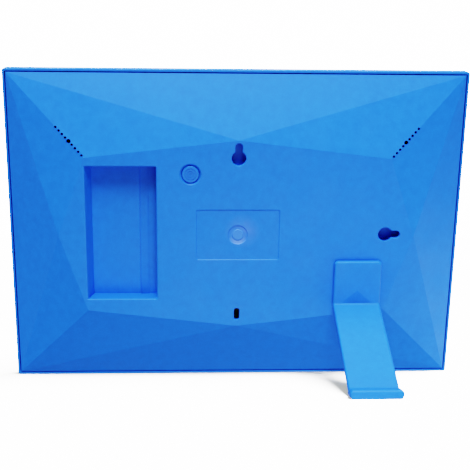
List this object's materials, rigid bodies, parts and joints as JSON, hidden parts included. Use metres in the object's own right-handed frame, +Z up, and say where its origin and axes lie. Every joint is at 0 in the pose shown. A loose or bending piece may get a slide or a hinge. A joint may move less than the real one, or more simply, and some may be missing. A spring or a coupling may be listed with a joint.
{
  "type": "digital photo frame",
  "caption": "Landscape digital photo frame with a faceted moulded back, a recessed connector pocket, wall-hanging keyholes, a power button and a bent swivelling stand.",
  "frame": {"origin": "centre of the footprint's bounding box, on the surface the frame stands on", "axes": "+Z up; +X along the screen's width, to the right for someone looking at the screen; +Y backwards, away from the viewer of the screen. The screen faces -Y and leans back 16 degrees"},
  "size_m": [0.262, 0.101, 0.179],
  "materials": {
    "case_plastic": "fine spark-eroded satin",
    "stand_plastic": "fine spark-eroded satin",
    "button_plastic": "satin, turned rings",
    "cover_glass": "polished, black border",
    "panel_glass": "polarised satin",
    "white_film": "smooth film",
    "clear_acrylic": "polished",
    "flex_film": "polyimide film",
    "led_package": "moulded",
    "white_plastic": "moulded",
    "tray_steel": "rolled",
    "screw_steel": "zinc plated",
    "spring_steel": "blued",
    "circuit_board": "solder mask",
    "chip_plastic": "moulded",
    "connector_plastic": "moulded",
    "ferrite": "sintered",
    "capacitor_can": "drawn",
    "shield_can": "tinned",
    "jack_plastic": "moulded",
    "contact_metal": "plated",
    "port_metal": "tinned",
    "speaker_basket": "moulded",
    "black_foam": "foam",
    "lead_insulation": "smooth"
  },
  "bodies": {
    "case": {"front_bezel": "case_plastic", "rear_cover": "case_plastic", "touch_glass": "cover_glass", "dc_jack": "jack_plastic", "dc_jack_pin": "contact_metal", "usb_socket": "port_metal", "usb_tongue": "jack_plastic", "micro_usb_socket": "port_metal", "micro_usb_tongue": "jack_plastic", "card_socket": "port_metal", "screen_tape": "black_foam", "lcd_panel": "panel_glass", "diffuser_sheet": "white_film", "light_guide": "clear_acrylic", "reflector_sheet": "white_film", "led_strip": "flex_film", "backlight_leds": "led_package", "backlight_frame": "white_plastic", "backlight_tray": "tray_steel", "display_screws": "screw_steel", "panel_flex": "flex_film", "driver_board": "circuit_board", "display_cable": "white_film", "touch_flex": "flex_film", "display_connector": "connector_plastic", "touch_connector": "connector_plastic", "main_board": "circuit_board", "board_screws": "screw_steel", "processor": "chip_plastic", "memory_chips": "chip_plastic", "flash_chip": "chip_plastic", "power_inductors": "ferrite", "power_capacitors": "capacitor_can", "wifi_module": "shield_can", "power_switch": "jack_plastic", "speaker_left": "speaker_basket", "speaker_right": "speaker_basket", "speaker_gaskets": "black_foam", "speaker_screws": "screw_steel", "speaker_lead_left": "lead_insulation", "speaker_lead_right": "lead_insulation", "speaker_connectors": "connector_plastic"},
    "stand": {"stand": "stand_plastic", "stand_washer": "screw_steel", "stand_wave_washer": "spring_steel", "stand_screw": "screw_steel"},
    "button": {"power_button": "button_plastic", "switch_plunger": "jack_plastic"}
  },
  "joints": [
    {"name": "stand_swivel", "type": "hinge", "parent": "case", "child": "stand", "pos_m": [-0.0697, -0.01009, 0.05734], "axis": [0, 0.9613, -0.2756], "range_deg": [0, 90]},
    {"name": "power_button_press", "type": "slide", "parent": "case", "child": "button", "axis": [0, -0.9613, 0.2756], "range_m": [0, 0.0005], "stiffness_N_per_m": 800, "springref_m": -0.0003}
  ]
}
